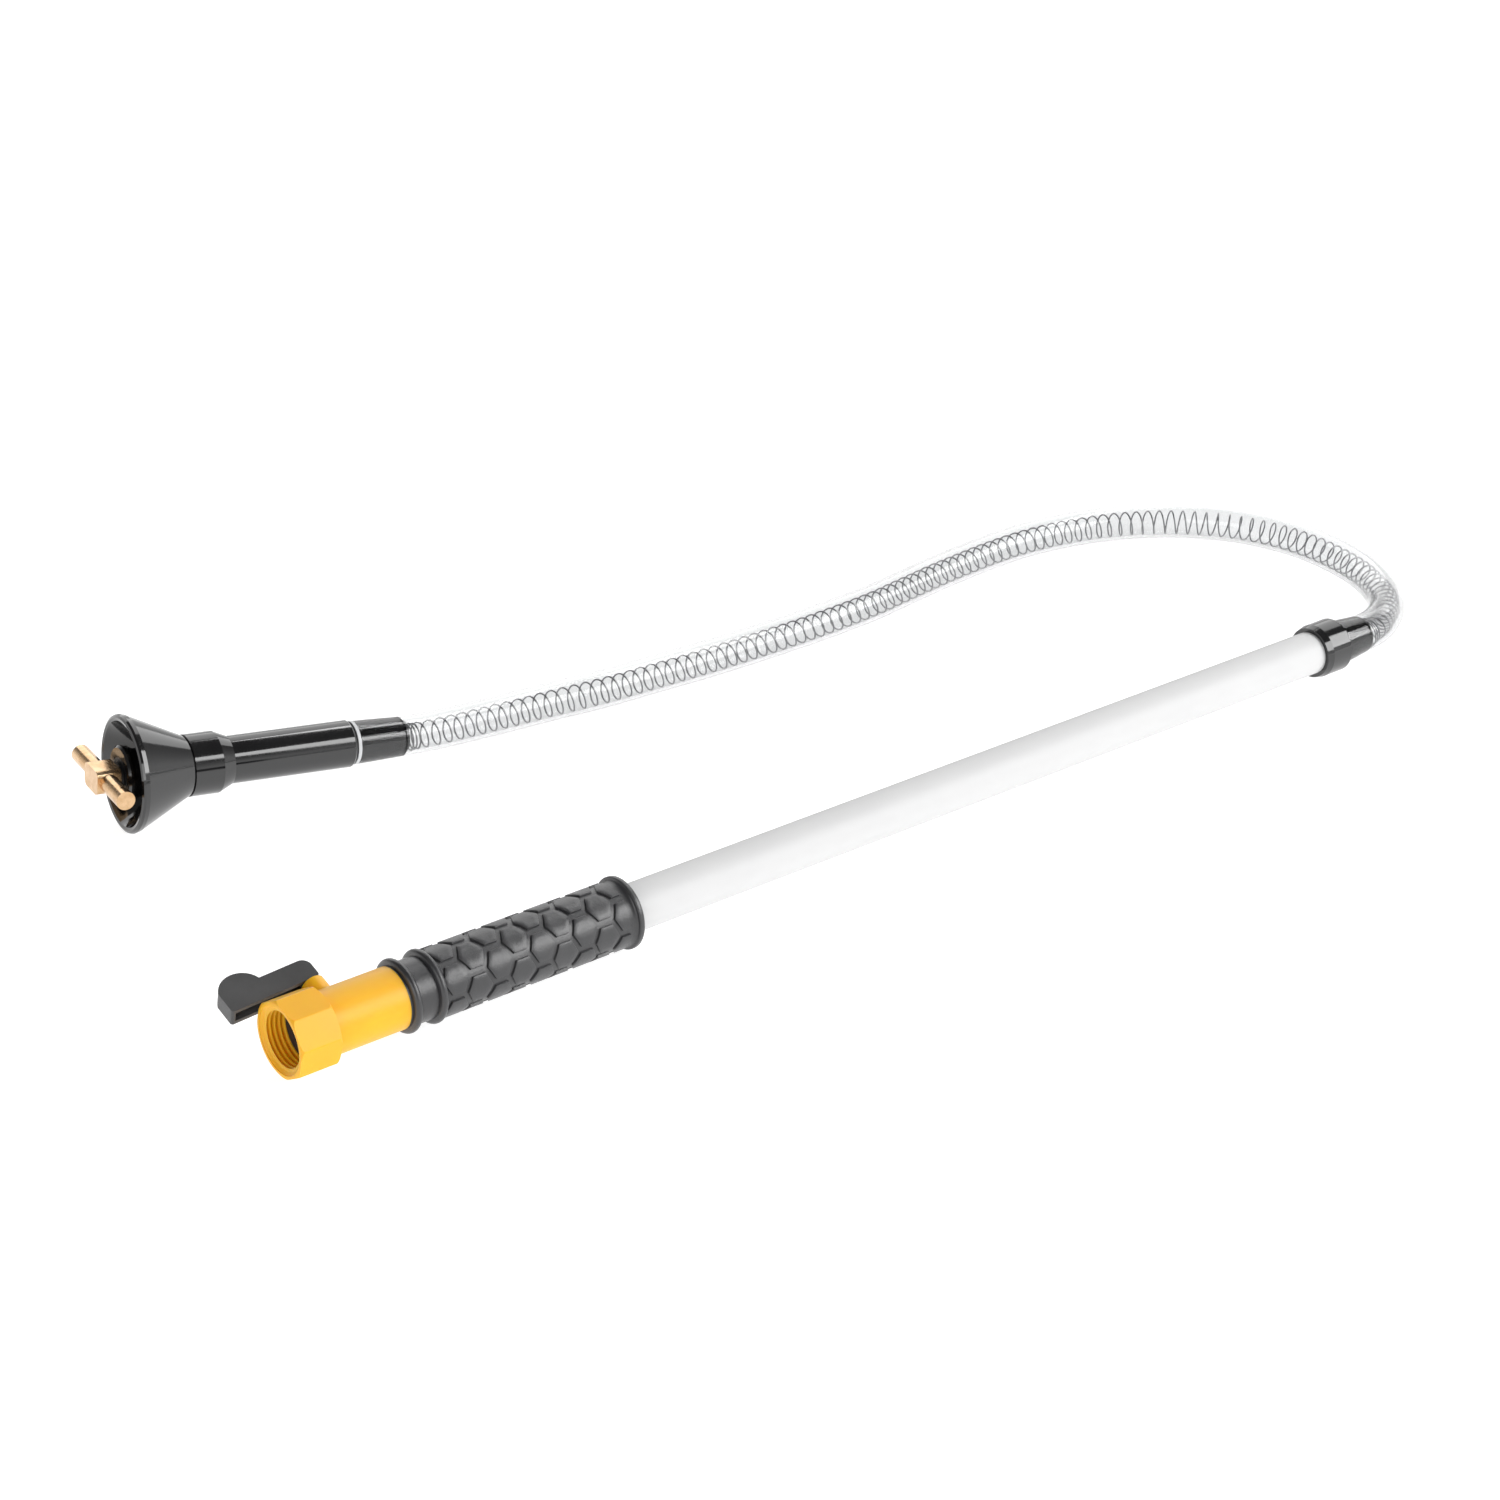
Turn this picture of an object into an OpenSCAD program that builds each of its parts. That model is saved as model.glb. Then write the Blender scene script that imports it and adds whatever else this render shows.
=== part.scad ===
// Wash-down wand with a shut-off valve, a rigid pole, a clear hose and a spinning spray head.
// The wand lies on the floor at z = 0. The pole runs along +X from its inlet nut.
// The hose leaves the far end of the pole, turns back and ends at the head, on the +Y side.

/* [Inlet nut] */
// Distance between opposite corners of the octagonal nut
nut_corners = 34.8; // [34:0.2:36]
// Length of the nut along the pole
nut_len = 19.3; // [18.6:0.1:19.6]
// Crest diameter of the female hose thread
thread_crest_d = 24.4; // [24:0.1:24.8]
// Root diameter of the female hose thread
thread_root_d = 27.2; // [26.6:0.1:27.6]
// Thread pitch
thread_pitch = 2.209; // [2:0.001:2.4]

/* [Shut-off valve] */
// Outer diameter of the valve body
valve_d = 27.2; // [26.6:0.1:27.8]
// Distance from the inlet face to the grip
valve_end = 54.2; // [53:0.1:56]
// Distance from the inlet face to the stem
stem_at = 28.5; // [28:0.1:29]
// Lean of the stem away from vertical
stem_lean = 70; // [50:1:90]
// Diameter of the bore through the ball
ball_bore = 11; // [8:0.5:11]

/* [Lever] */
// Reach of the lever from its stem to its tip
lever_reach = 37.2; // [34:0.1:40]
// Width of the lever
lever_w = 8; // [7.4:0.1:9]
// Angle between the lever and the pole as it rests
lever_rest = 5; // [0:1:8]

/* [Pole and grip] */
// Outer diameter of the pole
pole_d = 21.34; // [21.3:0.01:21.4]
// Inner diameter of the pole
pole_bore = 15.8; // [14:0.1:16.4]
// Distance from the inlet face to the coupling's lip
coupling_at = 603.6; // [600:0.1:606]
// Distance from the inlet face to the grip's far end
grip_end = 171.8; // [165:0.1:180]
// Diameter of the grip between its beads
grip_d = 29; // [28:0.1:30]
// Diameter over the beads and the flange of the grip
bead_d = 32.2; // [31.6:0.1:33]

/* [Hose] */
// Outer diameter of the hose
hose_d = 19; // [18.8:0.1:19]
// Inner diameter of the hose
hose_bore = 15.9; // [15.7:0.1:16]
// Outer diameter of the spring inside the hose
spring_d = 13.3; // [12:0.1:13.4]

/* [Spray head] */
// Diameter of the splash cone's rim
rim_d = 55.2; // [54:0.1:56]
// Outer diameter of the barrel
barrel_d = 22.4; // [22:0.1:22.8]
// Diameter of the collar behind the cone
collar_d = 29; // [28.4:0.1:29.6]
// Length of the spinning cross tube
arm_len = 57.5; // [50:0.1:58]
// Diameter of the spinning cross tube
arm_d = 8.8; // [8.6:0.1:9.6]

/* [Hidden] */
$fn = 64;
run_gap = 0.05;

// Places in the shared frame
inlet_x = -316.3;
pole_y = -123.1;
nut_turn = -6;
axis_z = nut_corners / 2 * cos(nut_turn);
rim_x = -250.6;
rim_y = 111.6;
head_dip = 5.5;
head_yaw = -9.3;
rim_z = rim_d / 2;

// Stations along the pole, from the inlet face
nut_corner_r = 1.2;
nut_face_r = 15.6;
thread_start = 1.9;
thread_turns = 4;
crest_flat = 0.5;
washer_at = 10.8;
washer_len = 2.5;
swivel_flange_at = washer_at + washer_len + 0.1;
swivel_flange_len = 2.5;
lip_at = swivel_flange_at + swivel_flange_len + 0.2;
valve_front = 20;
cavity_end = 42;
socket_at = 50;
socket_end = 74;
neck_r = 9.5;
cavity_r = 9.7;
bore_r = 6;

// Ball, seats and stem
ball_r = 8.2;
seat_in = 5.1;
seat_out = 8.1;
stem_r = 3;
stem_collar_r = 4.2;
stem_collar_at = 10.6;
stem_collar_len = 2;
boss_r = 5.3;
boss_top = 20.4;
slot_w = 3.4;
slot_at = 6.4;

// Lever
lever_in = 20.9;
lever_out = 31.5;
lever_tail = 3.6;
tail_r = 4.2;
lever_skin = 1.7;
thumb_r = 9.9;
thumb_rise = 6.7;
thumb_half = 9.35;
corner_r = 1.2;

// Grip
bead_1 = 57.1;
bead_2 = 69.7;
bead_w = 3.6;
groove_d = 27.4;
flange_w = 3.6;

// Coupling
collar_r = 13.5;
coupling_len = 16.9;
pole_end = coupling_at + 10;
spigot_r = hose_bore / 2 - 0.05;
spigot_len = 21.6;
spigot_base_r = 8.2;
spigot_bore_r = 5.2;

// Head stations, from the rim towards the hose
barrel_front = -1;
cone_end = 30.6;
collar_end = 44.5;
collar_chamfer_end = 51;
barrel_end = 112.8;
front_spigot_end = 140.6;
barrel_bore_r = 8.2;
front_ring_r = 13.4;
front_ring_len = 2.2;
rim_lip = 1.5;
bushing_len = 17;
spindle_r = 4;
spindle_bore_r = 2.2;
spindle_end = 21.5;
hub_front = -14.5;
hub_back = -3.1;
hub_w = 16.4;
hub_h = 11.4;
hub_corner = 3;
arm_at = -8.8;
arm_turn = 0;
arm_bore_r = 3.4;
plug_len = 2;
spray_hole_r = 0.9;
spray_hole_in = 4.9;

// The hose's route: out of the head, along the floor, round the bend and up to the coupling
hose_route = [
    [-139.4, 93.4, 16.8], [-125.6, 91.1, 15.4], [-111.9, 88.9, 14.1],
    [-92.2, 87.4, 12.4], [-57.3, 86.3, 10.3], [-28, 84, 9.6], [0, 80, 9.6], [29, 78, 9.6],
    [58, 76, 9.6], [89, 75, 9.6], [120, 75, 9.6], [148, 76, 9.6], [174, 78, 9.6],
    [200, 82, 9.6], [225, 86, 9.6], [250, 89, 9.6], [274, 91, 9.6], [298, 91, 9.6],
    [325, 87, 9.6], [350, 79, 9.6], [373, 66, 9.6], [391, 49, 9.6], [403, 30, 9.6],
    [410, 9, 9.6], [412, -11, 9.6], [410, -33, 9.6], [404, -55, 9.8], [395, -73, 10.2],
    [383, -90, 11.2], [369, -103, 12.9], [354, -113, 14.9], [340, -120, 16.5],
    [325.8, -123.1, 17.3], [304.2, -123.1, 17.3]
];
hose_sides = 12;
spring_wall = 0.8;
spring_drop = 0.8;
spring_gap = 1.6;
spring_first = 3;
spring_last = len(hose_route) - 3;

// ---- Local frames ----

// Local +Z runs along the pole, away from the inlet
module on_pole(s = 0) {
    translate([inlet_x + s, pole_y, axis_z]) rotate([0, 90, 0]) children();
}

// Local +Z runs out along the valve stem and local +X along the pole
module on_stem() {
    translate([inlet_x + stem_at, pole_y, axis_z]) rotate([-stem_lean, 0, 0]) children();
}

// Local +Z runs along the head, from the rim towards the hose
module on_head(s = 0) {
    translate([rim_x, rim_y, rim_z])
        rotate([0, 90 + head_dip, head_yaw])
            translate([0, 0, s]) children();
}

// Local +X runs along the cross tube, seen from the hub's own centre
module on_cross_tube() {
    on_head(arm_at) rotate([0, 0, 90 - arm_turn]) children();
}

// ---- Shapes that repeat ----

module tube(r_out, r_in, len) {
    difference() {
        cylinder(r = r_out, h = len);
        translate([0, 0, -1]) cylinder(r = r_in, h = len + 2);
    }
}

// Turned solid from [radius, station] points
module turned(points) {
    rotate_extrude() polygon(points);
}

// O-ring with its middle at the local origin
module o_ring(mid_r, thick) {
    rotate_extrude() translate([mid_r, 0]) circle(d = thick, $fn = 32);
}

// Hose spigot: a plug of length base_len at z < 0 and a barb of length len at z > 0
module hose_spigot(base_len, len) {
    nose = 2.5;
    turned([
        [spigot_bore_r, -base_len], [spigot_base_r, -base_len], [spigot_base_r, 0],
        [spigot_r, 0], [spigot_r, len - nose], [spigot_r - 0.9, len], [spigot_bore_r, len]
    ]);
}

// ---- Swept tubes ----

function unit(v) = v / norm(v);
function route_dir(pts, i) = unit(pts[min(i + 1, len(pts) - 1)] - pts[max(i - 1, 0)]);
function side_of(d) = unit([-d[1], d[0], 0]);

// One ring of points round pts[i]
function ring(pts, i, r) = let (d = route_dir(pts, i), n = side_of(d), w = cross(d, n))
    [for (k = [0:hose_sides - 1]) let (a = 360 * k / hose_sides) pts[i] + r * (cos(a) * n + sin(a) * w)];

// Four-sided faces between ring a and ring b, which start at those point numbers
function band(a, b) = [for (k = [0:hose_sides - 1]) let (m = (k + 1) % hose_sides) [a + k, a + m, b + m, b + k]];

module swept_tube(pts, r_out, r_in) {
    n = len(pts);
    inner = n * hose_sides;
    last = (n - 1) * hose_sides;
    points = [
        for (i = [0:n - 1]) each ring(pts, i, r_out),
        for (i = [0:n - 1]) each ring(pts, i, r_in)
    ];
    faces = [
        for (i = [0:n - 2]) each band((i + 1) * hose_sides, i * hose_sides),
        for (i = [0:n - 2]) each band(inner + i * hose_sides, inner + (i + 1) * hose_sides),
        each band(0, inner),
        each band(inner + last, last)
    ];
    polyhedron(points = points, faces = faces, convexity = 8);
}

// ---- Inlet and valve ----

// Radius and station points of one thread groove that starts at station s
function thread_groove(s) = [
    [thread_crest_d / 2, s],
    [thread_root_d / 2, s + (thread_pitch - crest_flat) / 2],
    [thread_crest_d / 2, s + thread_pitch - crest_flat]
];

module nut_bore() {
    entry_r = thread_root_d / 2 + 1.2;
    seat_r = 12.6;
    turned([
        [0, -1], [entry_r, -1], [entry_r, 0.3], [thread_root_d / 2, thread_start - 0.6],
        for (i = [0:thread_turns - 1]) each thread_groove(thread_start + i * thread_pitch),
        [thread_crest_d / 2, washer_at], [seat_r, washer_at], [seat_r, lip_at],
        [neck_r + run_gap, lip_at], [neck_r + run_gap, nut_len + 1], [0, nut_len + 1]
    ]);
}

// Octagonal blank with rounded corners and softened end faces
module nut_blank() {
    side_angle = 22.5;
    soft = nut_corners / 2 - nut_face_r;
    intersection() {
        rotate([0, 0, nut_turn]) linear_extrude(nut_len) offset(r = nut_corner_r)
            circle(d = nut_corners - 2 * nut_corner_r / cos(side_angle), $fn = 8);
        turned([
            [0, 0],
            for (a = [0:15:90]) [nut_face_r + soft * sin(a), soft * (1 - cos(a))],
            for (a = [90:-15:0]) [nut_face_r + soft * sin(a), nut_len - soft * (1 - cos(a))],
            [0, nut_len]
        ]);
    }
}

module swivel_nut() color("orange") on_pole() difference() {
    nut_blank();
    nut_bore();
}

module hose_washer() color("dimgray") on_pole(washer_at) tube(12.4, 8, washer_len);

module valve_body() color("orange") difference() {
    union() {
        on_pole() turned([
            [0, swivel_flange_at], [11.8, swivel_flange_at],
            [11.8, swivel_flange_at + swivel_flange_len], [neck_r, swivel_flange_at + swivel_flange_len],
            [neck_r, valve_front], [valve_d / 2, valve_front], [valve_d / 2, valve_end],
            [12.9, valve_end], [12.9, socket_end], [0, socket_end]
        ]);
        on_stem() cylinder(r = boss_r, h = boss_top);
    }
    on_pole() turned([
        [0, 0], [bore_r, 0], [bore_r, valve_front + 0.4], [cavity_r, valve_front + 0.4],
        [cavity_r, cavity_end], [bore_r, cavity_end], [bore_r, socket_at],
        [pole_d / 2, socket_at], [pole_d / 2, socket_end + 1], [0, socket_end + 1]
    ]);
    on_stem() cylinder(r = stem_r + run_gap, h = boss_top + 1);
    on_stem() cylinder(r = stem_collar_r + run_gap, h = stem_collar_at + stem_collar_len + run_gap);
}

// Seat ring from seat_in to seat_out beside the ball, with its dish
module ball_seat() {
    difference() {
        translate([0, 0, seat_in]) tube(cavity_r, ball_bore / 2, seat_out - seat_in);
        sphere(r = ball_r + run_gap);
    }
}

module front_ball_seat() color("white") on_pole(stem_at) mirror([0, 0, 1]) ball_seat();

module rear_ball_seat() color("white") on_pole(stem_at) ball_seat();

module seat_retainer() color("dimgray") on_pole(stem_at + seat_out)
    tube(cavity_r, ball_bore / 2, cavity_end - stem_at - seat_out);

module valve_ball() color("gold") difference() {
    on_pole(stem_at) sphere(r = ball_r);
    on_pole(stem_at - ball_r - 1) cylinder(d = ball_bore, h = 2 * ball_r + 2);
    on_stem() translate([-ball_r, -slot_w / 2, slot_at]) cube([2 * ball_r, slot_w, ball_r]);
}

module valve_stem() color("gold") on_stem() difference() {
    union() {
        translate([-stem_r, -slot_w / 2, slot_at]) cube([2 * stem_r, slot_w, 3]);
        translate([0, 0, stem_collar_at - 1.6]) cylinder(r = stem_r, h = 18);
        translate([0, 0, stem_collar_at]) cylinder(r = stem_collar_r, h = stem_collar_len);
    }
    translate([0, 0, 15]) tube(stem_r + 1, stem_r - 0.9, 1.6);
}

module stem_o_ring() color("black") on_stem() translate([0, 0, 15.8]) o_ring(stem_r - 0.4, 0.9);

// Side view of the lever: x runs along the arm and y out along the stem
module lever_side(inset) {
    offset(r = corner_r) offset(delta = -corner_r - inset) {
        difference() {
            translate([-lever_reach, lever_in]) square([lever_reach + lever_tail, lever_out - lever_in]);
            translate([lever_tail - tail_r, lever_out - tail_r]) difference() {
                square(tail_r + 1);
                circle(r = tail_r);
            }
        }
        intersection() {
            translate([thumb_half - lever_reach, lever_out + thumb_rise - thumb_r]) circle(r = thumb_r);
            translate([-lever_reach, lever_in]) square([2 * thumb_half, 30]);
        }
    }
}

module lever_handle() color("dimgray") on_stem() rotate([0, 0, -lever_rest]) difference() {
    union() {
        difference() {
            rotate([90, 0, 0]) translate([0, 0, -lever_w / 2]) linear_extrude(lever_w) lever_side(0);
            rotate([90, 0, 0]) translate([0, 0, lever_skin - lever_w / 2])
                linear_extrude(lever_w - 2 * lever_skin) union() {
                    lever_side(lever_skin);
                    translate([lever_skin - lever_reach, lever_in - 1])
                        square([lever_reach + lever_tail - 2 * lever_skin, 5]);
                }
        }
        translate([0, 0, lever_in]) cylinder(r = lever_w / 2 - 0.02, h = lever_out - lever_in - 1);
    }
    translate([0, 0, lever_in - 1]) cylinder(r = stem_r, h = stem_collar_at + 17.4 - lever_in);
}

// ---- Grip, pole and coupling ----

// Rounded bead on the grip, as a turned ring from groove_d out to bead_d
module bead(mid, w) {
    rim_r = 1.7;
    rotate_extrude() difference() {
        hull() {
            translate([bead_d / 2 - rim_r, mid - w / 2 + rim_r]) circle(r = rim_r, $fn = 32);
            translate([bead_d / 2 - rim_r, mid + w / 2 - rim_r]) circle(r = rim_r, $fn = 32);
        }
        translate([0, mid - w]) square([pole_d / 2 + 2.6, 2 * w]);
    }
}

module grip_sleeve() color("dimgray") on_pole() difference() {
    union() {
        turned([
            [0, valve_end], [groove_d / 2, valve_end], [groove_d / 2, bead_2],
            [grip_d / 2, bead_2 + bead_w / 2], [grip_d / 2, grip_end], [0, grip_end]
        ]);
        bead(bead_1, bead_w);
        bead(bead_2, bead_w);
        bead(grip_end - flange_w / 2, flange_w);
    }
    translate([0, 0, valve_end - 1]) cylinder(r = 12.9, h = socket_end + 1 - valve_end);
    translate([0, 0, valve_end - 1]) cylinder(d = pole_d, h = grip_end);
}

module pole_tube() color("white") on_pole(socket_at) tube(pole_d / 2, pole_bore / 2, pole_end - socket_at);

module pole_coupling() color("black") on_pole(coupling_at) turned([
    [pole_d / 2, 0], [collar_r - 0.9, 0], [collar_r, 3.6],
    [collar_r, coupling_len - 0.6], [collar_r - 0.6, coupling_len], [spigot_base_r, coupling_len],
    [spigot_base_r, 10], [pole_d / 2, 10]
]);

module rear_hose_spigot() color("black") on_pole(coupling_at + coupling_len)
    hose_spigot(coupling_len - 10, spigot_len);

// ---- Hose ----

module flexible_hose() color("white", 0.5) swept_tube(hose_route, hose_d / 2, hose_bore / 2);

// The spring follows the hose and stops short of the spigot at each end
function short_of(a, b) = a + spring_gap * unit(b - a);
spring_route = [
    short_of(hose_route[spring_first - 1], hose_route[spring_first]),
    for (i = [spring_first:spring_last]) hose_route[i],
    short_of(hose_route[spring_last + 1], hose_route[spring_last])
];
module hose_spring() color("silver") translate([0, 0, -spring_drop])
    swept_tube(spring_route, spring_d / 2, spring_d / 2 - spring_wall);

// ---- Spray head ----

module front_hose_spigot() color("black") on_head(barrel_end)
    hose_spigot(22, front_spigot_end - barrel_end);

module head_barrel() color("black") on_head() turned([
    [barrel_bore_r, barrel_front], [front_ring_r - 1, barrel_front],
    [front_ring_r, barrel_front + 1], [front_ring_r, barrel_front + front_ring_len],
    [barrel_d / 2, barrel_front + front_ring_len], [barrel_d / 2, barrel_end - 1.6],
    [barrel_d / 2 - 1.2, barrel_end], [barrel_bore_r, barrel_end]
]);

module barrel_lock_collar() color("black") on_head() turned([
    [barrel_d / 2, cone_end], [collar_d / 2, cone_end], [collar_d / 2, collar_end],
    [barrel_d / 2 + 0.4, collar_chamfer_end], [barrel_d / 2, collar_chamfer_end]
]);

module splash_cone() color("black") on_head() {
    wall = 2.4;
    rim_r = rim_d / 2;
    neck = collar_d / 2 - 0.6;
    turned([
        [rim_r - 3, 0.4], [rim_r - 1.6, 0], [rim_r - 0.5, 0.5], [rim_r, rim_lip], [rim_r - 0.4, rim_lip + 2],
        [neck, cone_end], [barrel_d / 2, cone_end], [barrel_d / 2, cone_end - 6],
        [neck - wall, cone_end - 6]
    ]);
}

module nozzle_bushing() color("dimgray") on_head(barrel_front)
    tube(barrel_bore_r, spindle_r + run_gap, bushing_len);

module spindle_o_ring() color("black") on_head(barrel_front + bushing_len + 0.6) o_ring(spindle_r + 0.65, 1.2);

module thrust_washer() color("dimgray") on_head(barrel_front - 1.3) tube(6.4, spindle_r, 1.2);

module nozzle_spindle() color("gold") on_head() difference() {
    translate([0, 0, hub_back]) cylinder(r = spindle_r, h = spindle_end - hub_back);
    translate([0, 0, hub_back - 1]) cylinder(r = spindle_bore_r, h = spindle_end - hub_back + 2);
    translate([0, 0, spindle_end - 3]) tube(spindle_r + 1, spindle_r - 0.6, 1.2);
}

module spindle_clip() color("silver") on_head(spindle_end - 3) difference() {
    tube(5.6, spindle_r - 0.6, 1.2);
    translate([0, -1, -1]) cube([10, 2, 4]);
}

module nozzle_hub() color("gold") difference() {
    on_head(hub_front) rotate([0, 0, 90 - arm_turn]) linear_extrude(hub_back - hub_front)
        offset(r = hub_corner) square([hub_w - 2 * hub_corner, hub_h - 2 * hub_corner], center = true);
    on_cross_tube() translate([-hub_w, 0, 0]) rotate([0, 90, 0]) cylinder(d = arm_d, h = 2 * hub_w);
    on_head(arm_at) cylinder(r = spindle_bore_r, h = 20);
}

module cross_tube() color("gold") difference() {
    on_cross_tube() translate([-arm_len / 2, 0, 0]) rotate([0, 90, 0]) tube(arm_d / 2, arm_bore_r, arm_len);
    on_head(arm_at) cylinder(r = spindle_bore_r, h = 20);
    for (end = [-1, 1])
        on_cross_tube() translate([end * (arm_len / 2 - spray_hole_in), 0, 0])
            rotate([end * 90, 0, 0]) cylinder(r = spray_hole_r, h = 20);
}

module tube_end_plugs() color("gold") for (end = [-1, 1])
    on_cross_tube() translate([end * (arm_len / 2 - plug_len / 2) - plug_len / 2, 0, 0])
        rotate([0, 90, 0]) cylinder(r = arm_bore_r, h = plug_len);

swivel_nut();
hose_washer();
valve_body();
front_ball_seat();
rear_ball_seat();
seat_retainer();
valve_ball();
valve_stem();
stem_o_ring();
lever_handle();
grip_sleeve();
pole_tube();
pole_coupling();
rear_hose_spigot();
flexible_hose();
hose_spring();
front_hose_spigot();
head_barrel();
barrel_lock_collar();
splash_cone();
nozzle_bushing();
spindle_o_ring();
thrust_washer();
nozzle_spindle();
spindle_clip();
nozzle_hub();
cross_tube();
tube_end_plugs();
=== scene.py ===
"""Looks of a wash-down wand with a spinning spray head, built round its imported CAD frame.

Every length is in metres, in the shared frame: +X along the pole, +Z up, floor at z = 0.
"""

import math

import bmesh
import bpy
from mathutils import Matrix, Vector


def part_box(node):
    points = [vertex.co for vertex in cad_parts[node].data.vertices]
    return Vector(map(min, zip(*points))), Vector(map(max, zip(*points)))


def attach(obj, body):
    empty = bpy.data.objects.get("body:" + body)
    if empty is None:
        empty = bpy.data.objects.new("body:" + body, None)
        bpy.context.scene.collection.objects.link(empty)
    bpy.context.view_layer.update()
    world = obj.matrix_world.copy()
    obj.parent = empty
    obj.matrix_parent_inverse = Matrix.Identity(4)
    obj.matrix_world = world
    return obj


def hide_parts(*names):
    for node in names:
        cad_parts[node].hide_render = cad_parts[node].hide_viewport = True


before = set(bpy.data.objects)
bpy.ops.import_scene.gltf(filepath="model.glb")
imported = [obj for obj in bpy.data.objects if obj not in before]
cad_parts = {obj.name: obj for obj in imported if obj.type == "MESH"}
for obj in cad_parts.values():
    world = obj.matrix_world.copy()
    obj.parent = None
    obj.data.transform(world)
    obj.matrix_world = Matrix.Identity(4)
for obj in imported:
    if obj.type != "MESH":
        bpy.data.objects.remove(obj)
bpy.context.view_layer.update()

MM = 0.001

# ---- Camera ----

CAMERA_PLACE = (-0.917, -1.1435, 0.6955)
CAMERA_TURN = (math.radians(64.78), 0, math.radians(-39.552))
CAMERA_LENS = 81.6
SENSOR_WIDTH = 36

# ---- Hose and spring ----

# The hose's route, point by point as in part.scad, in millimetres
HOSE_ROUTE = [
    (-139.4, 93.4, 16.8), (-125.6, 91.1, 15.4), (-111.9, 88.9, 14.1),
    (-92.2, 87.4, 12.4), (-57.3, 86.3, 10.3), (-28, 84, 9.6), (0, 80, 9.6), (29, 78, 9.6),
    (58, 76, 9.6), (89, 75, 9.6), (120, 75, 9.6), (148, 76, 9.6), (174, 78, 9.6),
    (200, 82, 9.6), (225, 86, 9.6), (250, 89, 9.6), (274, 91, 9.6), (298, 91, 9.6),
    (325, 87, 9.6), (350, 79, 9.6), (373, 66, 9.6), (391, 49, 9.6), (403, 30, 9.6),
    (410, 9, 9.6), (412, -11, 9.6), (410, -33, 9.6), (404, -55, 9.8), (395, -73, 10.2),
    (383, -90, 11.2), (369, -103, 12.9), (354, -113, 14.9), (340, -120, 16.5),
    (325.8, -123.1, 17.3), (304.2, -123.1, 17.3),
]
HOSE_R = 9.5 * MM
HOSE_BORE_R = 7.95 * MM
ROUTE_STEP = 1.5 * MM
HOSE_SIDES = 64

# How far the hose swells where it is stretched over a spigot, and how long that stretch is
HEAD_FLARE = 0.8 * MM
HEAD_FLARE_LEN = 30 * MM
COUPLING_FLARE = 1.8 * MM
COUPLING_FLARE_LEN = 24 * MM
FRONT_SPIGOT_TIP = 27.4 * MM
REAR_SPIGOT_TIP = 21.6 * MM
SPIGOT_GRIP_R = 7.4 * MM
# The length of the hose's dull cut end at the head, which is painted a lighter grey as a painted
# highlight of its cut face
CUT_END_LEN = 2.6 * MM

SPRING_R = 6.65 * MM
WIRE_R = 0.42 * MM
SPRING_PITCH = 6.4 * MM
CLOSE_PITCH = 1.9 * MM
SPRING_DROP = 1.1 * MM
SPRING_END_GAP = 0.8 * MM
CLOSE_TURNS = 3
WIRE_SIDES = 8
STEPS_PER_TURN = 28

# ---- Grip ----

BODY_R = 14.1 * MM
TILE_R = 15.05 * MM
GROOVE_R = 13.7 * MM
BEAD_R = 16.1 * MM
TILES_ROUND = 6
TILE_COLUMNS = 9
TILE_COLUMN_PITCH = 10.87 * MM
FIRST_COLUMN_AT = 76.7 * MM
TILE_HALF_LEN = 6.1 * MM
TILE_HALF_WIDTH = 6.3 * MM
TILE_EDGE_POINTS = 6
FIRST_TILE_ANGLE = 3.8

# Rings of a raised tile, foot to middle: share of its outline, and radius round the pole
TILE_RINGS = [
    (1.015, BODY_R - 0.5 * MM), (1.0, TILE_R - 0.25 * MM), (0.985, TILE_R - 0.08 * MM),
    (0.95, TILE_R), (0.6, TILE_R), (0.25, TILE_R),
]


def view_camera():
    """The camera at the photograph's viewing angle."""
    data = bpy.data.cameras.new("camera")
    data.lens = CAMERA_LENS
    data.sensor_width = SENSOR_WIDTH
    camera = bpy.data.objects.new("camera", data)
    camera.location = CAMERA_PLACE
    camera.rotation_euler = CAMERA_TURN
    bpy.context.scene.collection.objects.link(camera)
    bpy.context.scene.camera = camera


def smooth_path(points, step):
    """A Catmull-Rom curve through points, in pieces of about step."""
    ends = [2 * points[0] - points[1], *points, 2 * points[-1] - points[-2]]
    path = []
    for before, a, b, after in zip(ends, ends[1:], ends[2:], ends[3:]):
        count = max(1, round((b - a).length / step))
        for k in range(count):
            t = k / count
            path.append(0.5 * (
                2 * a
                + (b - before) * t
                + (2 * before - 5 * a + 4 * b - after) * t * t
                + (3 * a - before - 3 * b + after) * t ** 3
            ))
    path.append(points[-1])
    return path


def stations(path):
    """The distance along the path of each of its points."""
    out = [0.0]
    for a, b in zip(path, path[1:]):
        out.append(out[-1] + (b - a).length)
    return out


def cross_axes(path, i):
    """Two unit directions across the path at point i: level, and upward."""
    ahead = (path[min(i + 1, len(path) - 1)] - path[max(i - 1, 0)]).normalized()
    level = Vector((-ahead.y, ahead.x, 0)).normalized()
    return level, ahead.cross(level)


def mesh_piece(name, mesh_builder, sharp_angle=35):
    """A new object from a bmesh, shaded smooth with its sharp edges kept."""
    mesh = bpy.data.meshes.new(name)
    bmesh.ops.recalc_face_normals(mesh_builder, faces=mesh_builder.faces)
    mesh_builder.to_mesh(mesh)
    mesh_builder.free()
    for face in mesh.polygons:
        face.use_smooth = True
    mesh.set_sharp_from_angle(angle=math.radians(sharp_angle))
    piece = bpy.data.objects.new(name, mesh)
    bpy.context.scene.collection.objects.link(piece)
    return piece


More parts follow.
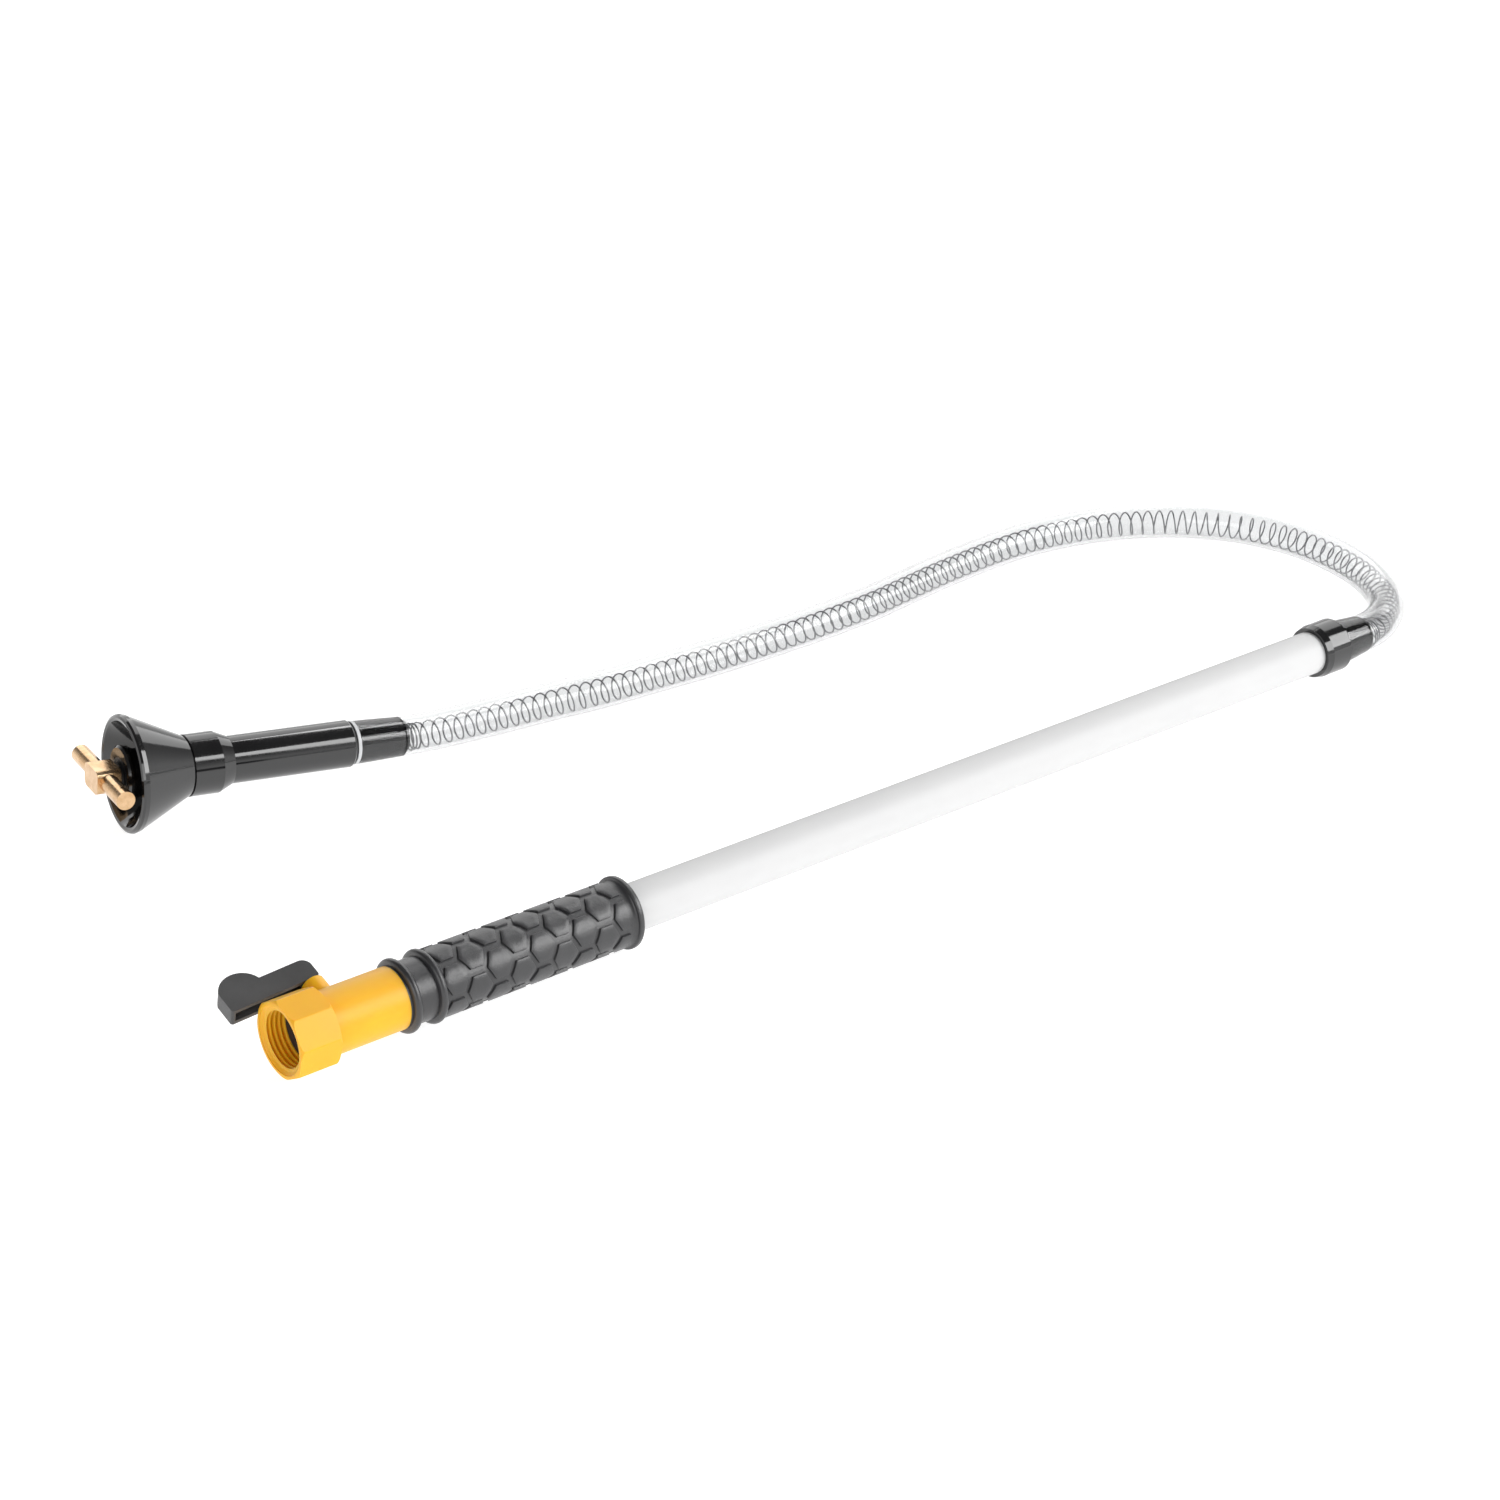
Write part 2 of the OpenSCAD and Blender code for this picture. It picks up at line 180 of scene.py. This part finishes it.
def add_rings(bm, rings, closed):
    """Joins rings of points with four-sided faces; closed joins the last ring to the first."""
    made = [[bm.verts.new(point) for point in ring] for ring in rings]
    pairs = list(zip(made, made[1:]))
    if closed:
        pairs.append((made[-1], made[0]))
    for a, b in pairs:
        for k in range(len(a)):
            m = (k + 1) % len(a)
            bm.faces.new((a[k], a[m], b[m], b[k]))
    return made


def ease(t):
    """A smooth step from 0 to 1."""
    t = min(max(t, 0), 1)
    return t * t * (3 - 2 * t)


def hose_radius(at, whole):
    """The hose's outer radius: it swells over the spigot at each end."""
    head = HEAD_FLARE * (1 - ease(at / HEAD_FLARE_LEN))
    coupling = COUPLING_FLARE * (1 - ease((whole - at) / COUPLING_FLARE_LEN))
    return HOSE_R + head + coupling


def hose_bore(at, whole):
    """The hose's inner radius: tight on the spigots, and its own bore between them."""
    on_spigot = at < FRONT_SPIGOT_TIP or at > whole - REAR_SPIGOT_TIP
    return SPIGOT_GRIP_R if on_spigot else HOSE_BORE_R


def build_hose():
    """The clear hose, as a closed tube with a wall and two cut ends."""
    path = smooth_path([Vector(p) * MM for p in HOSE_ROUTE], ROUTE_STEP)
    along = stations(path)
    whole = along[-1]
    outer, inner = [], []
    for i, (point, at) in enumerate(zip(path, along)):
        level, up = cross_axes(path, i)
        for radius, rings in ((hose_radius(at, whole), outer), (hose_bore(at, whole), inner)):
            ring = []
            for k in range(HOSE_SIDES):
                angle = math.tau * k / HOSE_SIDES
                ring.append(point + radius * (math.cos(angle) * level + math.sin(angle) * up))
            rings.append(ring)
    bm = bmesh.new()
    add_rings(bm, outer + inner[::-1], closed=True)
    hose = mesh_piece("clear_hose", bm)
    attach(hose, "wand")
    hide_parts("flexible_hose")
    return hose, path, along


def coil_station(turn, turns):
    """How far along the coil a turn lies: the last few turns at each end are wound close."""
    open_turns = turns - 2 * CLOSE_TURNS
    first = min(turn, CLOSE_TURNS)
    middle = min(max(turn - CLOSE_TURNS, 0), open_turns)
    last = max(turn - CLOSE_TURNS - open_turns, 0)
    return (first + last) * CLOSE_PITCH + middle * SPRING_PITCH


def build_spring(path, along):
    """The loose wire coil that lies along the bottom of the hose's bore."""
    whole = along[-1]
    start = FRONT_SPIGOT_TIP + SPRING_END_GAP
    stop = whole - REAR_SPIGOT_TIP - SPRING_END_GAP
    coil_r = SPRING_R - WIRE_R
    close_len = CLOSE_TURNS * CLOSE_PITCH
    turns = 2 * CLOSE_TURNS + (stop - start - 2 * close_len) / SPRING_PITCH
    steps = round(turns * STEPS_PER_TURN)
    centres, i = [], 0
    for k in range(steps + 1):
        at = start + coil_station(turns * k / steps, turns)
        while i + 2 < len(along) and along[i + 1] < at:
            i += 1
        t = (at - along[i]) / (along[i + 1] - along[i])
        level_a, up_a = cross_axes(path, i)
        level_b, up_b = cross_axes(path, i + 1)
        level, up = level_a.lerp(level_b, t), up_a.lerp(up_b, t)
        angle = math.tau * k / STEPS_PER_TURN
        middle = path[i].lerp(path[i + 1], t) - Vector((0, 0, SPRING_DROP))
        centres.append(middle + coil_r * (math.cos(angle) * level + math.sin(angle) * up))
    rings = []
    for k, centre in enumerate(centres):
        ahead = (centres[min(k + 1, steps)] - centres[max(k - 1, 0)]).normalized()
        if k == 0:
            side = ahead.orthogonal().normalized()
        else:
            side = (side - side.dot(ahead) * ahead).normalized()
        up = ahead.cross(side)
        ring = []
        for m in range(WIRE_SIDES):
            angle = math.tau * m / WIRE_SIDES
            ring.append(centre + WIRE_R * (math.cos(angle) * side + math.sin(angle) * up))
        rings.append(ring)
    bm = bmesh.new()
    made = add_rings(bm, rings, closed=False)
    bm.faces.new(made[0][::-1])
    bm.faces.new(made[-1])
    spring = mesh_piece("wire_coil", bm, 60)
    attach(spring, "wand")
    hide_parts("hose_spring")
    return spring


view_camera()
hose, hose_path, hose_along = build_hose()
spring = build_spring(hose_path, hose_along)


# ---- Grip sleeve ----

grip_low, grip_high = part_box("grip_sleeve")
pole_low, pole_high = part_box("pole_tube")
nut_low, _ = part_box("swivel_nut")
POLE_AXIS = Vector((0, (pole_low.y + pole_high.y) / 2, (pole_low.z + pole_high.z) / 2))
POLE_R = (pole_high.z - pole_low.z) / 2
# Distances along the grip start at the nut's face
INLET_X = nut_low.x
GRIP_START = grip_low.x - INLET_X
GRIP_END = grip_high.x - INLET_X
GRIP_BORE_START_R = 12.9 * MM
GRIP_SOCKET_END = 56.2 * MM
BEAD_1 = 57.1 * MM
BEAD_2 = 69.7 * MM
BEAD_HALF = 1.9 * MM
# Below 1, the bead's section is fuller than an ellipse
BEAD_FULLNESS = 0.8
BEAD_FOOT = 0.4 * MM
FLANGE_W = 6.4 * MM
FLANGE_R = 16.3 * MM
FLANGE_LIP = 2.9 * MM
FLANGE_FOOT = 1 * MM
NECK_RISE = 1.2 * MM
LIP_ROUND = 0.7 * MM
RIM_ROUND = 1.3 * MM
NECK_STEPS = 6
LIP_STEPS = 5
RIM_STEPS = 6
# The hexagons reach this far under the second bead, and end this far before the flange
TILE_UNDER_BEAD = 0.5 * MM
TILE_FLANGE_GAP = 0.4 * MM
ROUND_STEPS = 144


def on_pole(at, angle, radius):
    """A point round the pole: distance from the inlet, degrees from the top towards -Y, radius."""
    turn = math.radians(angle)
    y = POLE_AXIS.y - radius * math.sin(turn)
    z = POLE_AXIS.z + radius * math.cos(turn)
    return Vector((INLET_X + at, y, z))


def arc_bead(middle, half, base, top, count=10):
    """Profile points of a rounded bead between middle - half and middle + half."""
    points = []
    for k in range(count + 1):
        angle = math.pi * k / count
        radius = base + (top - base) * math.sin(angle) ** BEAD_FULLNESS
        points.append((middle - half * math.cos(angle), radius))
    return points


def grip_profile():
    """The sleeve's outline, from the valve's end to the flange and back through the bore."""
    flange_at = GRIP_END - FLANGE_W
    outline = [(GRIP_START, GRIP_BORE_START_R), (GRIP_START, GROOVE_R)]
    outline += arc_bead(BEAD_1, BEAD_HALF, GROOVE_R, BEAD_R)
    outline += arc_bead(BEAD_2, BEAD_HALF, GROOVE_R, BEAD_R)[:-1]
    outline += [(BEAD_2 + BEAD_HALF + BEAD_FOOT, BODY_R), (flange_at - FLANGE_FOOT, BODY_R)]
    neck_len = FLANGE_W - FLANGE_LIP
    for k in range(1, NECK_STEPS + 1):
        angle = math.pi / 2 * k / NECK_STEPS
        at = flange_at + neck_len * math.sin(angle)
        outline.append((at, BODY_R + NECK_RISE * (1 - math.cos(angle))))
    lip_at = flange_at + neck_len
    lip_rise = FLANGE_R - BODY_R - NECK_RISE
    for k in range(1, LIP_STEPS + 1):
        angle = math.pi / 2 * k / LIP_STEPS
        at = lip_at + LIP_ROUND * (1 - math.cos(angle))
        outline.append((at, BODY_R + NECK_RISE + lip_rise * math.sin(angle)))
    for k in range(1, RIM_STEPS + 1):
        angle = math.pi / 2 * k / RIM_STEPS
        at = GRIP_END - RIM_ROUND * (1 - math.sin(angle))
        outline.append((at, FLANGE_R - RIM_ROUND * (1 - math.cos(angle))))
    outline += [(GRIP_END, POLE_R), (GRIP_SOCKET_END, POLE_R)]
    outline.append((GRIP_SOCKET_END, GRIP_BORE_START_R))
    return outline


def add_tile(bm, at, angle, stop_before, stop_after):
    """One raised hexagon, curved with the grip and cut where the sleeve's bead or flange begins."""
    tip = TILE_HALF_LEN
    shoulder = TILE_HALF_LEN / 2
    side = TILE_HALF_WIDTH
    corners = [
        (-tip, 0), (-shoulder, -side), (shoulder, -side),
        (tip, 0), (shoulder, side), (-shoulder, side),
    ]
    outline = []
    for (x0, y0), (x1, y1) in zip(corners, corners[1:] + corners[:1]):
        for k in range(TILE_EDGE_POINTS):
            x = x0 + (x1 - x0) * k / TILE_EDGE_POINTS
            y = y0 + (y1 - y0) * k / TILE_EDGE_POINTS
            outline.append((x, y))
    rings = []
    for share, radius in TILE_RINGS:
        ring = []
        for x, y in outline:
            place = min(max(at + x * share, stop_before), stop_after)
            ring.append(on_pole(place, angle + math.degrees(y * share / TILE_R), radius))
        rings.append(ring)
    made = add_rings(bm, rings, closed=False)
    bm.faces.new(made[-1])
    bm.faces.new(made[0][::-1])


def build_grip():
    """The rubber sleeve: beads, flange and staggered raised hexagons."""
    bm = bmesh.new()
    rings = []
    for at, radius in grip_profile():
        rings.append([on_pole(at, 360 * k / ROUND_STEPS, radius) for k in range(ROUND_STEPS)])
    add_rings(bm, rings, closed=True)
    stop_before = BEAD_2 + BEAD_HALF - TILE_UNDER_BEAD
    stop_after = GRIP_END - FLANGE_W - TILE_FLANGE_GAP
    for column in range(TILE_COLUMNS):
        at = FIRST_COLUMN_AT + column * TILE_COLUMN_PITCH
        half_step = 0.5 * (column % 2)
        for k in range(TILES_ROUND):
            angle = FIRST_TILE_ANGLE + (k + half_step) * 360 / TILES_ROUND
            add_tile(bm, at, angle, stop_before, stop_after)
    grip = mesh_piece("grip", bm, 40)
    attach(grip, "wand")
    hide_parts("grip_sleeve")
    return grip


grip = build_grip()


# ---- Materials ----

# Noise scales, in cells per metre
PATCH_SCALE = 45
SPECK_SCALE = 900
TARNISH_SCALE = 160
WAVE_SCALE = 15
HAZE_SCALE = 400

# Where the Mix node keeps its colours, among all its inputs and outputs
MIX_COLOUR_A = 6
MIX_COLOUR_B = 7
MIX_COLOUR_RESULT = 2


class Nodes:
    """Short calls for building one material's nodes."""

    def __init__(self, name):
        self.material = bpy.data.materials.new(name)
        self.material.use_nodes = True
        self.tree = self.material.node_tree
        self.shader = self.tree.nodes["Principled BSDF"]
        self.place = self.tree.nodes.new("ShaderNodeTexCoord").outputs["Object"]

    def link(self, a, b):
        self.tree.links.new(a, b)

    def add(self, kind, **values):
        """A node with its inputs and settings; a linked socket may be given as a value."""
        node = self.tree.nodes.new(kind)
        for key, value in values.items():
            if key in node.inputs:
                if isinstance(value, bpy.types.NodeSocket):
                    self.link(value, node.inputs[key])
                else:
                    node.inputs[key].default_value = value
            else:
                setattr(node, key, value)
        return node

    def noise(self, scale, detail=3.0, roughness=0.55, stretch=(1, 1, 1)):
        """Noise with scale in cells per metre, stretched along the axes given."""
        mapping = self.add("ShaderNodeMapping", Vector=self.place, Scale=stretch)
        node = self.add("ShaderNodeTexNoise", Vector=mapping.outputs["Vector"], Scale=scale,
                        Detail=detail, Roughness=roughness)
        return node.outputs["Fac"]

    def ramp(self, value, low, high, to_low, to_high):
        """value, remapped from low..high to to_low..to_high."""
        node = self.add("ShaderNodeMapRange", Value=value)
        node.inputs["From Min"].default_value = low
        node.inputs["From Max"].default_value = high
        node.inputs["To Min"].default_value = to_low
        node.inputs["To Max"].default_value = to_high
        return node.outputs["Result"]

    def mix(self, factor, a, b):
        """A colour between a and b."""
        node = self.tree.nodes.new("ShaderNodeMix")
        node.data_type = "RGBA"
        self.link(factor, node.inputs["Factor"])
        for index, value in ((MIX_COLOUR_A, a), (MIX_COLOUR_B, b)):
            if isinstance(value, bpy.types.NodeSocket):
                self.link(value, node.inputs[index])
            else:
                node.inputs[index].default_value = (*value, 1)
        return node.outputs[MIX_COLOUR_RESULT]

    def total(self, a, b):
        """The sum of two values."""
        node = self.tree.nodes.new("ShaderNodeMath")
        node.operation = "ADD"
        self.link(a, node.inputs[0])
        self.link(b, node.inputs[1])
        return node.outputs[0]

    def bump(self, height, depth):
        """A bump of the given depth in metres."""
        return self.add("ShaderNodeBump", Height=height, Distance=depth).outputs["Normal"]

    def finish(self, colour, roughness, normal, **values):
        """Connects the result and sets the uniform values on the shader itself."""
        for key, value in (("Base Color", colour), ("Roughness", roughness), ("Normal", normal)):
            self.link(value, self.shader.inputs[key])
        for key, value in values.items():
            self.shader.inputs[key.replace("_", " ")].default_value = value
        return self.material


def moulded(name, light, dark, rough, grain, depth, **values):
    """Moulded plastic or rubber: uneven colour and gloss, and a fine grain."""
    n = Nodes(name)
    patches = n.noise(PATCH_SCALE, detail=3)
    specks = n.noise(SPECK_SCALE, detail=2)
    grains = n.noise(grain, detail=3, roughness=0.6)
    colour = n.mix(n.ramp(patches, 0.3, 0.7, 0, 1), dark, light)
    gloss = n.ramp(n.total(patches, specks), 0.7, 1.3, rough[0], rough[1])
    return n.finish(colour, gloss, n.bump(grains, depth), **values)


yellow = moulded(
    "satin_orange_plastic",
    light=(0.86, 0.45, 0.010), dark=(0.82, 0.415, 0.008), rough=(0.36, 0.46),
    grain=2600, depth=0.03 * MM, IOR=1.45,
    Subsurface_Weight=0.3, Subsurface_Radius=(0.004, 0.0015, 0.0003), Subsurface_Scale=1.0,
)
black_satin = moulded(
    "satin_black_plastic",
    light=(0.062, 0.062, 0.063), dark=(0.046, 0.046, 0.047), rough=(0.34, 0.46),
    grain=3000, depth=0.03 * MM,
)
black_gloss = moulded(
    "glossy_black_pvc",
    light=(0.006, 0.006, 0.0065), dark=(0.004, 0.004, 0.0045), rough=(0.07, 0.13),
    grain=500, depth=0.003 * MM, IOR=1.72,
)
rubber = moulded(
    "grip_rubber",
    light=(0.034, 0.034, 0.036), dark=(0.022, 0.022, 0.024), rough=(0.28, 0.42),
    grain=1500, depth=0.08 * MM, IOR=1.62,
)
white = moulded(
    "white_pvc",
    light=(0.63, 0.63, 0.63), dark=(0.61, 0.61, 0.612), rough=(0.45, 0.55),
    grain=900, depth=0.006 * MM, IOR=1.4,
    Subsurface_Weight=0.15, Subsurface_Radius=(0.002, 0.002, 0.002), Subsurface_Scale=1.0,
)
seal = moulded(
    "seal_rubber",
    light=(0.022, 0.022, 0.023), dark=(0.014, 0.014, 0.015), rough=(0.5, 0.65),
    grain=2400, depth=0.03 * MM,
)
seat = moulded(
    "seat_plastic",
    light=(0.80, 0.80, 0.78), dark=(0.74, 0.74, 0.72), rough=(0.32, 0.45),
    grain=2400, depth=0.01 * MM,
)
bearing = moulded(
    "bearing_plastic",
    light=(0.012, 0.012, 0.0125), dark=(0.008, 0.008, 0.0085), rough=(0.30, 0.42),
    grain=2200, depth=0.02 * MM,
)
# The hose's dull cut end: its lighter grey is a painted highlight, standing in for the light its cut
# face catches
frosted_highlit_end = moulded(
    "cut_vinyl_painted_highlight",
    light=(0.62, 0.63, 0.64), dark=(0.50, 0.51, 0.52), rough=(0.35, 0.5),
    grain=3000, depth=0.03 * MM,
)


def metal(name, light, dark, rough, stretch, scale, depth):
    """Machined metal: fine tool lines, with patches of tarnish."""
    n = Nodes(name)
    lines = n.noise(scale, detail=4, roughness=0.6, stretch=stretch)
    tarnish = n.noise(TARNISH_SCALE, detail=4, roughness=0.6)
    colour = n.mix(n.ramp(tarnish, 0.35, 0.65, 0, 1), dark, light)
    gloss = n.ramp(lines, 0.3, 0.7, rough[0], rough[1])
    return n.finish(colour, gloss, n.bump(lines, depth), Metallic=1.0)


brass = metal(
    "machined_brass",
    light=(0.72, 0.50, 0.30), dark=(0.58, 0.36, 0.18), rough=(0.16, 0.30),
    stretch=(1, 0.08, 1), scale=3500, depth=0.02 * MM,
)
steel = metal(
    "spring_wire",
    light=(0.36, 0.36, 0.37), dark=(0.28, 0.28, 0.29), rough=(0.25, 0.4),
    stretch=(1, 1, 1), scale=2500, depth=0.01 * MM,
)
stainless = metal(
    "stainless_steel",
    light=(0.70, 0.70, 0.72), dark=(0.60, 0.60, 0.62), rough=(0.15, 0.28),
    stretch=(1, 1, 0.1), scale=3000, depth=0.01 * MM,
)


def vinyl():
    """Clear flexible vinyl with a faint extruded waviness."""
    n = Nodes("clear_vinyl")
    waves = n.noise(WAVE_SCALE, detail=1, roughness=0.4)
    haze = n.noise(HAZE_SCALE, detail=3)
    colour = n.mix(n.ramp(waves, 0.3, 0.7, 0, 1), (0.81, 0.815, 0.82), (0.83, 0.833, 0.835))
    gloss = n.ramp(haze, 0.3, 0.7, 0.05, 0.10)
    bump = n.bump(waves, 0.02 * MM)
    return n.finish(colour, gloss, bump, Transmission_Weight=1.0, IOR=1.3, Specular_IOR_Level=0.1)


clear = vinyl()

MATERIAL_OF = {
    yellow: ["swivel_nut", "valve_body"],
    black_satin: ["lever_handle"],
    black_gloss: ["pole_coupling", "rear_hose_spigot", "front_hose_spigot", "head_barrel",
                  "barrel_lock_collar", "splash_cone"],
    white: ["pole_tube"],
    seal: ["hose_washer", "stem_o_ring", "spindle_o_ring"],
    seat: ["front_ball_seat", "rear_ball_seat"],
    bearing: ["seat_retainer", "nozzle_bushing", "thrust_washer"],
    brass: ["valve_ball", "valve_stem", "nozzle_spindle", "nozzle_hub", "cross_tube", "tube_end_plugs"],
    stainless: ["spindle_clip"],
}


def dress(piece, material):
    """Gives a piece one material in all its slots."""
    piece.data.materials.clear()
    piece.data.materials.append(material)


def paint_cut_end_highlight(hose, path, along):
    """The hose's cut end at the head is dull, and its first faces take an opaque lighter grey: a
    painted highlight of the light its cut face catches.
    """
    highlit_end_slot = len(hose.data.materials)
    hose.data.materials.append(frosted_highlit_end)
    ring_count = len(path)
    for face in hose.data.polygons:
        rings = [v // HOSE_SIDES for v in face.vertices]
        places = [r if r < ring_count else 2 * ring_count - 1 - r for r in rings]
        if max(along[p] for p in places) <= CUT_END_LEN:
            face.material_index = highlit_end_slot


for material, names in MATERIAL_OF.items():
    for name in names:
        dress(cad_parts[name], material)
dress(hose, clear)
paint_cut_end_highlight(hose, hose_path, hose_along)
dress(spring, steel)
dress(grip, rubber)


# ---- Floor and light ----

FLOOR_SIZE = 9
FLOOR_GLOW = 0.85
LIGHT_DISTANCE = 4.5
# Height of the view direction, 0 at the horizon and 1 overhead, and the brightness there
WORLD_LOW = (0.10, 1.0)
WORLD_HIGH = (0.45, 0.12)


def build_floor():
    """A plain white floor."""
    bm = bmesh.new()
    bmesh.ops.create_grid(bm, x_segments=4, y_segments=4, size=FLOOR_SIZE)
    floor = mesh_piece("floor", bm)
    n = Nodes("white_floor")
    unevenness = n.noise(0.4, detail=2)
    tone = n.mix(unevenness, (0.50, 0.50, 0.50), (0.51, 0.51, 0.51))
    n.link(tone, n.shader.inputs["Base Color"])
    n.shader.inputs["Roughness"].default_value = 0.9
    n.shader.inputs["Specular IOR Level"].default_value = 0.0
    n.shader.inputs["Emission Color"].default_value = (1, 1, 1, 1)
    n.shader.inputs["Emission Strength"].default_value = FLOOR_GLOW
    dress(floor, n.material)


def softbox(name, direction, width, height, radiance):
    """A large soft light that shines at the object from far away along direction."""
    data = bpy.data.lights.new(name, "AREA")
    data.shape = "RECTANGLE"
    data.size = width
    data.size_y = height
    data.energy = math.pi * width * height * radiance
    light = bpy.data.objects.new(name, data)
    place = LIGHT_DISTANCE * Vector(direction).normalized()
    light.location = place
    light.rotation_euler = place.to_track_quat("Z", "Y").to_euler()
    bpy.context.scene.collection.objects.link(light)


def build_world():
    """Pale surroundings near the horizon that darken overhead."""
    world = bpy.data.worlds.new("studio")
    world.use_nodes = True
    tree = world.node_tree
    place = tree.nodes.new("ShaderNodeTexCoord")
    split = tree.nodes.new("ShaderNodeSeparateXYZ")
    ramp = tree.nodes.new("ShaderNodeValToRGB")
    tree.links.new(place.outputs["Generated"], split.inputs["Vector"])
    tree.links.new(split.outputs["Z"], ramp.inputs["Fac"])
    tree.links.new(ramp.outputs["Color"], tree.nodes["Background"].inputs["Color"])
    for stop, (position, tone) in zip(ramp.color_ramp.elements, (WORLD_LOW, WORLD_HIGH)):
        stop.position = position
        stop.color = (tone, tone, tone, 1)
    tree.nodes["Background"].inputs["Strength"].default_value = 1.0
    bpy.context.scene.world = world


build_floor()
build_world()
softbox("right_softbox", (0.62, -0.70, 0.50), width=3.6, height=2.6, radiance=6.0)
softbox("far_softbox", (0.60, 0.68, 0.58), width=7.0, height=3.0, radiance=1.7)
softbox("overhead_strip", (0.576, 0.07, 0.86), width=3.0, height=0.45, radiance=8.0)
softbox("left_softbox", (-0.85, -0.45, 0.40), width=3.2, height=2.2, radiance=2.4)

bpy.context.scene.view_settings.view_transform = "Standard"
